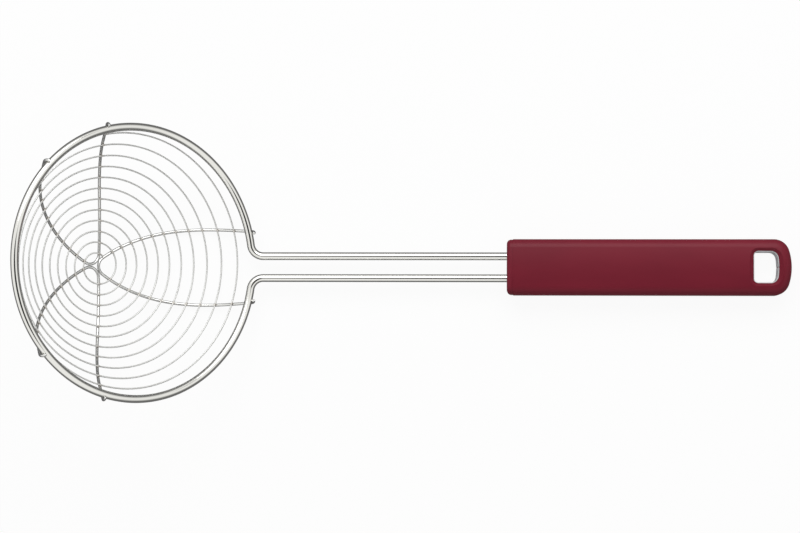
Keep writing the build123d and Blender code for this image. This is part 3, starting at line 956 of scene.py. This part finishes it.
class SKIMMER_OT_handle_inside(bpy.types.Operator):
    """Give the core halves and the anchor plate inside the handle their finishes"""

    bl_idname = "skimmer.handle_inside"
    bl_label = "Cores and Anchor Plate"
    bl_options = {"REGISTER", "UNDO"}

    def execute(self, context):
        looks = context.scene.skimmer_finishes
        plastic = moulded("core_plastic", looks.core_black, looks.core_roughness, looks.core_grain)
        for node in ("core_lower", "core_upper"):
            dress(node, plastic)
        rough, line = looks.plate_roughness, looks.rolled_line
        dress("leg_anchor_plate", strip_steel("anchor_steel", looks.plate_steel, rough, PLATE_LINES, line))
        return {"FINISHED"}


class SKIMMER_OT_hang_hole_liner(bpy.types.Operator):
    """Give the strip that lines the hang hole its bright rolled finish"""

    bl_idname = "skimmer.hang_hole_liner"
    bl_label = "Hang Hole Liner"
    bl_options = {"REGISTER", "UNDO"}

    def execute(self, context):
        looks = context.scene.skimmer_finishes
        rough, line = looks.liner_roughness, looks.rolled_line
        steel = strip_steel("liner_steel", looks.liner_steel, rough, LINER_LINES, line, looks.liner_metal)
        dress("hang_hole_liner", steel)
        return {"FINISHED"}


class SKIMMER_OT_stage(bpy.types.Operator):
    """Set the pale floor, the plain light and the camera"""

    bl_idname = "skimmer.stage"
    bl_label = "Stage"
    bl_options = {"REGISTER", "UNDO"}

    def execute(self, context):
        scene = context.scene
        sizes = scene.skimmer_stage
        half = sizes.floor_width / 2
        mesh = bpy.data.meshes.new("floor")
        corners = np.array([[-1, -1, 0], [1, -1, 0], [1, 1, 0], [-1, 1, 0]]) * half
        mesh.from_pydata(corners.tolist(), [], [[0, 1, 2, 3]])
        mesh.materials.append(pale_floor(sizes))
        floor = bpy.data.objects.new("floor", mesh)
        scene.collection.objects.link(floor)

        scene.world = bpy.data.worlds.new("room")
        room_light(scene.world, sizes)
        lamp = bpy.data.lights.new("soft_lamp", "AREA")
        lamp.shape = "RECTANGLE"
        lamp.size, lamp.size_y = sizes.lamp_length, sizes.lamp_width
        lamp.energy = sizes.lamp_power
        soft = bpy.data.objects.new("soft_lamp", lamp)
        tip = sizes.lamp_tip
        soft.location = (0, sizes.lamp_distance * math.sin(tip), sizes.lamp_distance * math.cos(tip))
        soft.rotation_euler = (-tip, 0, 0)
        scene.collection.objects.link(soft)

        lens = bpy.data.cameras.new("camera")
        lens.sensor_width, lens.lens = sizes.film_width, sizes.lens
        lens.clip_start, lens.clip_end = sizes.nearest, sizes.furthest
        camera = bpy.data.objects.new("camera", lens)
        camera.location = sizes.camera_place
        camera.rotation_euler = sizes.camera_turn
        scene.collection.objects.link(camera)
        scene.camera = camera
        scene.view_settings.view_transform = "Standard"
        return {"FINISHED"}


class SKIMMER_PT_panel(bpy.types.Panel):
    """Lists the skimmer's operators"""

    bl_idname = "SKIMMER_PT_panel"
    bl_label = "Wire Skimmer"
    bl_space_type = "VIEW_3D"
    bl_region_type = "UI"
    bl_category = "Skimmer"

    def draw(self, context):
        for operator in OPERATORS:
            self.layout.operator(operator.bl_idname)


GROUPS = {
    "skimmer_frame": SkimmerFrameSizes,
    "skimmer_ribs": SkimmerRibSizes,
    "skimmer_spiral": SkimmerSpiralSizes,
    "skimmer_finishes": SkimmerFinishes,
    "skimmer_stage": SkimmerStage,
}
OPERATORS = (
    SKIMMER_OT_stage,
    SKIMMER_OT_ring_and_legs,
    SKIMMER_OT_rib_wires,
    SKIMMER_OT_spiral_wire,
    SKIMMER_OT_handle,
    SKIMMER_OT_handle_inside,
    SKIMMER_OT_hang_hole_liner,
)


def register():
    for group in GROUPS.values():
        bpy.utils.register_class(group)
    for operator in OPERATORS:
        bpy.utils.register_class(operator)
    bpy.utils.register_class(SKIMMER_PT_panel)
    for name, group in GROUPS.items():
        setattr(bpy.types.Scene, name, PointerProperty(type=group))


def unregister():
    for name in GROUPS:
        delattr(bpy.types.Scene, name)
    bpy.utils.unregister_class(SKIMMER_PT_panel)
    for operator in reversed(OPERATORS):
        bpy.utils.unregister_class(operator)
    for group in reversed(list(GROUPS.values())):
        bpy.utils.unregister_class(group)


def main():
    register()
    bpy.ops.skimmer.stage()
    bpy.ops.skimmer.ring_and_legs()
    bpy.ops.skimmer.rib_wires()
    bpy.ops.skimmer.spiral_wire()
    bpy.ops.skimmer.handle()
    bpy.ops.skimmer.handle_inside()
    bpy.ops.skimmer.hang_hole_liner()


if __name__ == "__main__":
    main()
